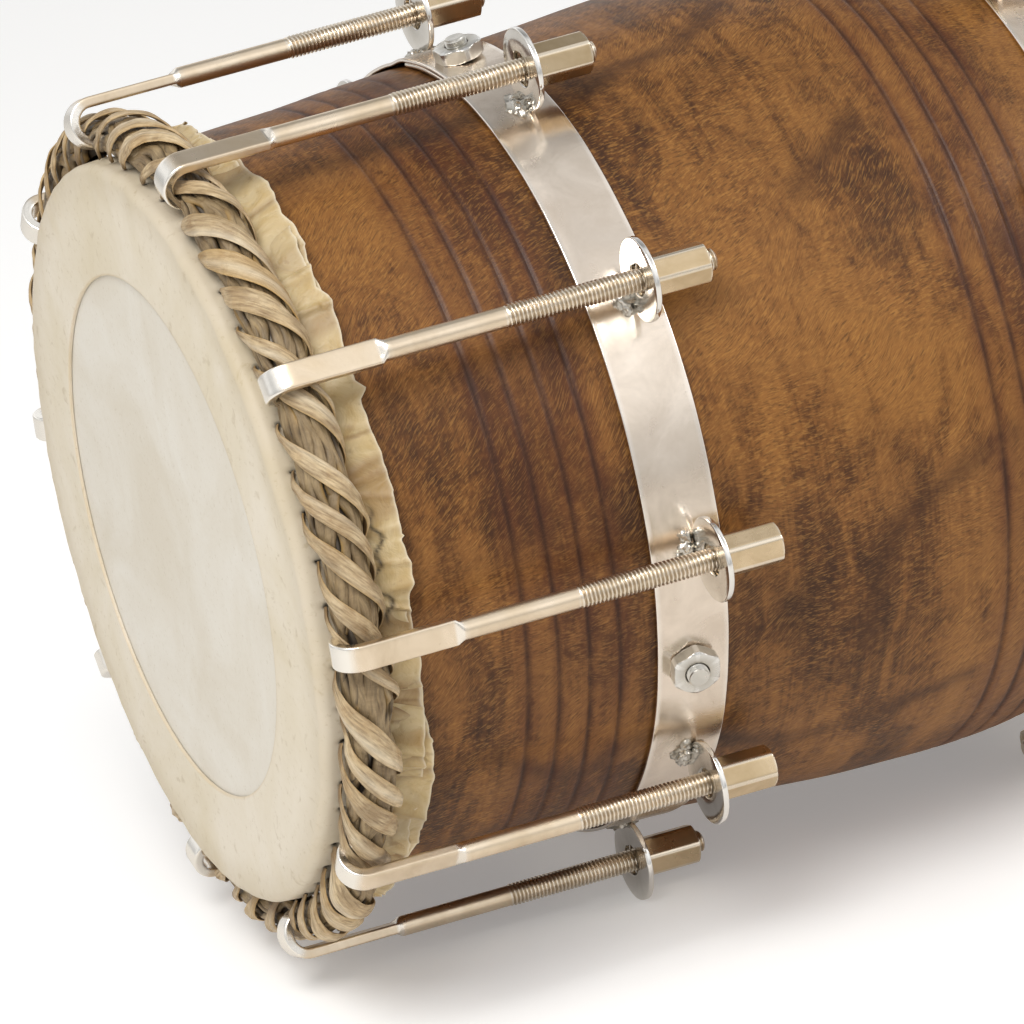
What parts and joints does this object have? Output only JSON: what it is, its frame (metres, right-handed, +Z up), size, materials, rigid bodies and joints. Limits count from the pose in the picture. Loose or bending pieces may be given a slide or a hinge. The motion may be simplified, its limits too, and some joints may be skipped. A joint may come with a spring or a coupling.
{
  "type": "naal drum",
  "caption": "Barrel hand drum lying on its side: turned wooden shell, hide heads with rawhide lacing, and hook rods with long nuts on steel bands.",
  "frame": {"origin": "on the floor, under the middle of the barrel", "axes": "+X along the barrel axis from the bass head to the treble head, +Z up"},
  "size_m": [0.438, 0.3268, 0.3122],
  "materials": {
    "lacquered_wood": "glossy clear lacquer over turned hardwood",
    "plated_strip": "softly polished nickel plate on steel strip",
    "rod_steel": "warm nickel plate on steel rod, bright at the bends",
    "nut_plate": "warm nickel plate on hexagon steel",
    "zinc": "dull zinc plate",
    "playing_hide": "bare pale hide",
    "rim_hide": "bare cream hide",
    "rawhide": "dried rawhide, satin, brown grey",
    "strand_hide": "dried rawhide strands, dull, dark brown grey",
    "ring_steel": "dull steel",
    "tuning_paste": "matte black paste"
  },
  "bodies": {
    "drum": {"barrel_shell": "lacquered_wood", "bass_band": "plated_strip", "bass_rim_skin": "rim_hide", "bass_skin": "playing_hide", "bass_hoop_ring": "ring_steel", "bass_hoop_strands": "strand_hide", "bass_lacing": "rawhide", "bass_band_bolt_1": "zinc", "bass_band_bolt_2": "zinc", "bass_band_bolt_3": "zinc", "treble_band": "plated_strip", "treble_rim_skin": "rim_hide", "treble_skin": "playing_hide", "treble_hoop_ring": "ring_steel", "treble_hoop_strands": "strand_hide", "treble_lacing": "rawhide", "treble_band_bolt_1": "zinc", "treble_band_bolt_2": "zinc", "treble_band_bolt_3": "zinc", "treble_tuning_patch": "tuning_paste"},
    "bass_rod_1": {"bass_rod_1": "rod_steel"},
    "bass_nut_1": {"bass_nut_1": "nut_plate"},
    "bass_rod_2": {"bass_rod_2": "rod_steel"},
    "bass_nut_2": {"bass_nut_2": "nut_plate"},
    "bass_rod_3": {"bass_rod_3": "rod_steel"},
    "bass_nut_3": {"bass_nut_3": "nut_plate"},
    "bass_rod_4": {"bass_rod_4": "rod_steel"},
    "bass_nut_4": {"bass_nut_4": "nut_plate"},
    "bass_rod_5": {"bass_rod_5": "rod_steel"},
    "bass_nut_5": {"bass_nut_5": "nut_plate"},
    "bass_rod_6": {"bass_rod_6": "rod_steel"},
    "bass_nut_6": {"bass_nut_6": "nut_plate"},
    "bass_rod_7": {"bass_rod_7": "rod_steel"},
    "bass_nut_7": {"bass_nut_7": "nut_plate"},
    "bass_rod_8": {"bass_rod_8": "rod_steel"},
    "bass_nut_8": {"bass_nut_8": "nut_plate"},
    "bass_rod_9": {"bass_rod_9": "rod_steel"},
    "bass_nut_9": {"bass_nut_9": "nut_plate"},
    "bass_rod_10": {"bass_rod_10": "rod_steel"},
    "bass_nut_10": {"bass_nut_10": "nut_plate"},
    "treble_rod_1": {"treble_rod_1": "rod_steel"},
    "treble_nut_1": {"treble_nut_1": "nut_plate"},
    "treble_rod_2": {"treble_rod_2": "rod_steel"},
    "treble_nut_2": {"treble_nut_2": "nut_plate"},
    "treble_rod_3": {"treble_rod_3": "rod_steel"},
    "treble_nut_3": {"treble_nut_3": "nut_plate"},
    "treble_rod_4": {"treble_rod_4": "rod_steel"},
    "treble_nut_4": {"treble_nut_4": "nut_plate"},
    "treble_rod_5": {"treble_rod_5": "rod_steel"},
    "treble_nut_5": {"treble_nut_5": "nut_plate"},
    "treble_rod_6": {"treble_rod_6": "rod_steel"},
    "treble_nut_6": {"treble_nut_6": "nut_plate"},
    "treble_rod_7": {"treble_rod_7": "rod_steel"},
    "treble_nut_7": {"treble_nut_7": "nut_plate"},
    "treble_rod_8": {"treble_rod_8": "rod_steel"},
    "treble_nut_8": {"treble_nut_8": "nut_plate"},
    "treble_rod_9": {"treble_rod_9": "rod_steel"},
    "treble_nut_9": {"treble_nut_9": "nut_plate"},
    "treble_rod_10": {"treble_rod_10": "rod_steel"},
    "treble_nut_10": {"treble_nut_10": "nut_plate"}
  },
  "joints": [
    {"name": "bass_nut_1_turn", "type": "hinge", "parent": "drum", "child": "bass_nut_1", "pos_m": [-0.0879, 0.04615, 0.29812], "axis": [0.9998, 0.0059, 0.0181], "range_deg": [0, 2160]},
    {"name": "bass_rod_1_draw", "type": "slide", "parent": "drum", "child": "bass_rod_1", "axis": [-0.9998, -0.0059, -0.0181], "range_m": [0, 0.00847]},
    {"name": "bass_nut_2_turn", "type": "hinge", "parent": "drum", "child": "bass_nut_2", "pos_m": [-0.0879, -0.04615, 0.29812], "axis": [0.9998, -0.0059, 0.0181], "range_deg": [0, 2160]},
    {"name": "bass_rod_2_draw", "type": "slide", "parent": "drum", "child": "bass_rod_2", "axis": [-0.9998, 0.0059, -0.0181], "range_m": [0, 0.00847]},
    {"name": "bass_nut_3_turn", "type": "hinge", "parent": "drum", "child": "bass_nut_3", "pos_m": [-0.0879, -0.12082, 0.24386], "axis": [0.9998, -0.0154, 0.0112], "range_deg": [0, 2160]},
    {"name": "bass_rod_3_draw", "type": "slide", "parent": "drum", "child": "bass_rod_3", "axis": [-0.9998, 0.0154, -0.0112], "range_m": [0, 0.00847]},
    {"name": "bass_nut_4_turn", "type": "hinge", "parent": "drum", "child": "bass_nut_4", "pos_m": [-0.0879, -0.14935, 0.15608], "axis": [0.9998, -0.019, 0], "range_deg": [0, 2160]},
    {"name": "bass_rod_4_draw", "type": "slide", "parent": "drum", "child": "bass_rod_4", "axis": [-0.9998, 0.019, 0], "range_m": [0, 0.00847]},
    {"name": "bass_nut_5_turn", "type": "hinge", "parent": "drum", "child": "bass_nut_5", "pos_m": [-0.0879, -0.12082, 0.06829], "axis": [0.9998, -0.0154, -0.0112], "range_deg": [0, 2160]},
    {"name": "bass_rod_5_draw", "type": "slide", "parent": "drum", "child": "bass_rod_5", "axis": [-0.9998, 0.0154, 0.0112], "range_m": [0, 0.00847]},
    {"name": "bass_nut_6_turn", "type": "hinge", "parent": "drum", "child": "bass_nut_6", "pos_m": [-0.0879, -0.04615, 0.01404], "axis": [0.9998, -0.0059, -0.0181], "range_deg": [0, 2160]},
    {"name": "bass_rod_6_draw", "type": "slide", "parent": "drum", "child": "bass_rod_6", "axis": [-0.9998, 0.0059, 0.0181], "range_m": [0, 0.00847]},
    {"name": "bass_nut_7_turn", "type": "hinge", "parent": "drum", "child": "bass_nut_7", "pos_m": [-0.0879, 0.04615, 0.01404], "axis": [0.9998, 0.0059, -0.0181], "range_deg": [0, 2160]},
    {"name": "bass_rod_7_draw", "type": "slide", "parent": "drum", "child": "bass_rod_7", "axis": [-0.9998, -0.0059, 0.0181], "range_m": [0, 0.00847]},
    {"name": "bass_nut_8_turn", "type": "hinge", "parent": "drum", "child": "bass_nut_8", "pos_m": [-0.0879, 0.12082, 0.06829], "axis": [0.9998, 0.0154, -0.0112], "range_deg": [0, 2160]},
    {"name": "bass_rod_8_draw", "type": "slide", "parent": "drum", "child": "bass_rod_8", "axis": [-0.9998, -0.0154, 0.0112], "range_m": [0, 0.00847]},
    {"name": "bass_nut_9_turn", "type": "hinge", "parent": "drum", "child": "bass_nut_9", "pos_m": [-0.0879, 0.14935, 0.15608], "axis": [0.9998, 0.019, 0], "range_deg": [0, 2160]},
    {"name": "bass_rod_9_draw", "type": "slide", "parent": "drum", "child": "bass_rod_9", "axis": [-0.9998, -0.019, 0], "range_m": [0, 0.00847]},
    {"name": "bass_nut_10_turn", "type": "hinge", "parent": "drum", "child": "bass_nut_10", "pos_m": [-0.0879, 0.12082, 0.24386], "axis": [0.9998, 0.0154, 0.0112], "range_deg": [0, 2160]},
    {"name": "bass_rod_10_draw", "type": "slide", "parent": "drum", "child": "bass_rod_10", "axis": [-0.9998, -0.0154, -0.0112], "range_m": [0, 0.00847]},
    {"name": "treble_nut_1_turn", "type": "hinge", "parent": "drum", "child": "treble_nut_1", "pos_m": [0.0879, -0.04615, 0.29812], "axis": [-0.9876, -0.0485, 0.1492], "range_deg": [0, 2160]},
    {"name": "treble_rod_1_draw", "type": "slide", "parent": "drum", "child": "treble_rod_1", "axis": [0.9876, 0.0485, -0.1492], "range_m": [0, 0.00847]},
    {"name": "treble_nut_2_turn", "type": "hinge", "parent": "drum", "child": "treble_nut_2", "pos_m": [0.0879, 0.04615, 0.29812], "axis": [-0.9876, 0.0485, 0.1492], "range_deg": [0, 2160]},
    {"name": "treble_rod_2_draw", "type": "slide", "parent": "drum", "child": "treble_rod_2", "axis": [0.9876, -0.0485, -0.1492], "range_m": [0, 0.00847]},
    {"name": "treble_nut_3_turn", "type": "hinge", "parent": "drum", "child": "treble_nut_3", "pos_m": [0.0879, 0.12082, 0.24386], "axis": [-0.9876, 0.1269, 0.0922], "range_deg": [0, 2160]},
    {"name": "treble_rod_3_draw", "type": "slide", "parent": "drum", "child": "treble_rod_3", "axis": [0.9876, -0.1269, -0.0922], "range_m": [0, 0.00847]},
    {"name": "treble_nut_4_turn", "type": "hinge", "parent": "drum", "child": "treble_nut_4", "pos_m": [0.0879, 0.14935, 0.15608], "axis": [-0.9876, 0.1569, 0], "range_deg": [0, 2160]},
    {"name": "treble_rod_4_draw", "type": "slide", "parent": "drum", "child": "treble_rod_4", "axis": [0.9876, -0.1569, 0], "range_m": [0, 0.00847]},
    {"name": "treble_nut_5_turn", "type": "hinge", "parent": "drum", "child": "treble_nut_5", "pos_m": [0.0879, 0.12082, 0.06829], "axis": [-0.9876, 0.1269, -0.0922], "range_deg": [0, 2160]},
    {"name": "treble_rod_5_draw", "type": "slide", "parent": "drum", "child": "treble_rod_5", "axis": [0.9876, -0.1269, 0.0922], "range_m": [0, 0.00847]},
    {"name": "treble_nut_6_turn", "type": "hinge", "parent": "drum", "child": "treble_nut_6", "pos_m": [0.0879, 0.04615, 0.01404], "axis": [-0.9876, 0.0485, -0.1492], "range_deg": [0, 2160]},
    {"name": "treble_rod_6_draw", "type": "slide", "parent": "drum", "child": "treble_rod_6", "axis": [0.9876, -0.0485, 0.1492], "range_m": [0, 0.00847]},
    {"name": "treble_nut_7_turn", "type": "hinge", "parent": "drum", "child": "treble_nut_7", "pos_m": [0.0879, -0.04615, 0.01404], "axis": [-0.9876, -0.0485, -0.1492], "range_deg": [0, 2160]},
    {"name": "treble_rod_7_draw", "type": "slide", "parent": "drum", "child": "treble_rod_7", "axis": [0.9876, 0.0485, 0.1492], "range_m": [0, 0.00847]},
    {"name": "treble_nut_8_turn", "type": "hinge", "parent": "drum", "child": "treble_nut_8", "pos_m": [0.0879, -0.12082, 0.06829], "axis": [-0.9876, -0.1269, -0.0922], "range_deg": [0, 2160]},
    {"name": "treble_rod_8_draw", "type": "slide", "parent": "drum", "child": "treble_rod_8", "axis": [0.9876, 0.1269, 0.0922], "range_m": [0, 0.00847]},
    {"name": "treble_nut_9_turn", "type": "hinge", "parent": "drum", "child": "treble_nut_9", "pos_m": [0.0879, -0.14935, 0.15608], "axis": [-0.9876, -0.1569, 0], "range_deg": [0, 2160]},
    {"name": "treble_rod_9_draw", "type": "slide", "parent": "drum", "child": "treble_rod_9", "axis": [0.9876, 0.1569, 0], "range_m": [0, 0.00847]},
    {"name": "treble_nut_10_turn", "type": "hinge", "parent": "drum", "child": "treble_nut_10", "pos_m": [0.0879, -0.12082, 0.24386], "axis": [-0.9876, -0.1269, 0.0922], "range_deg": [0, 2160]},
    {"name": "treble_rod_10_draw", "type": "slide", "parent": "drum", "child": "treble_rod_10", "axis": [0.9876, 0.1269, -0.0922], "range_m": [0, 0.00847]}
  ],
  "couplings": [
    {"joint": "bass_nut_1_turn", "follows": "bass_rod_1_draw", "rad_per_m": 4452.7},
    {"joint": "bass_nut_2_turn", "follows": "bass_rod_2_draw", "rad_per_m": 4452.7},
    {"joint": "bass_nut_3_turn", "follows": "bass_rod_3_draw", "rad_per_m": 4452.7},
    {"joint": "bass_nut_4_turn", "follows": "bass_rod_4_draw", "rad_per_m": 4452.7},
    {"joint": "bass_nut_5_turn", "follows": "bass_rod_5_draw", "rad_per_m": 4452.7},
    {"joint": "bass_nut_6_turn", "follows": "bass_rod_6_draw", "rad_per_m": 4452.7},
    {"joint": "bass_nut_7_turn", "follows": "bass_rod_7_draw", "rad_per_m": 4452.7},
    {"joint": "bass_nut_8_turn", "follows": "bass_rod_8_draw", "rad_per_m": 4452.7},
    {"joint": "bass_nut_9_turn", "follows": "bass_rod_9_draw", "rad_per_m": 4452.7},
    {"joint": "bass_nut_10_turn", "follows": "bass_rod_10_draw", "rad_per_m": 4452.7},
    {"joint": "treble_nut_1_turn", "follows": "treble_rod_1_draw", "rad_per_m": 4452.7},
    {"joint": "treble_nut_2_turn", "follows": "treble_rod_2_draw", "rad_per_m": 4452.7},
    {"joint": "treble_nut_3_turn", "follows": "treble_rod_3_draw", "rad_per_m": 4452.7},
    {"joint": "treble_nut_4_turn", "follows": "treble_rod_4_draw", "rad_per_m": 4452.7},
    {"joint": "treble_nut_5_turn", "follows": "treble_rod_5_draw", "rad_per_m": 4452.7},
    {"joint": "treble_nut_6_turn", "follows": "treble_rod_6_draw", "rad_per_m": 4452.7},
    {"joint": "treble_nut_7_turn", "follows": "treble_rod_7_draw", "rad_per_m": 4452.7},
    {"joint": "treble_nut_8_turn", "follows": "treble_rod_8_draw", "rad_per_m": 4452.7},
    {"joint": "treble_nut_9_turn", "follows": "treble_rod_9_draw", "rad_per_m": 4452.7},
    {"joint": "treble_nut_10_turn", "follows": "treble_rod_10_draw", "rad_per_m": 4452.7}
  ]
}
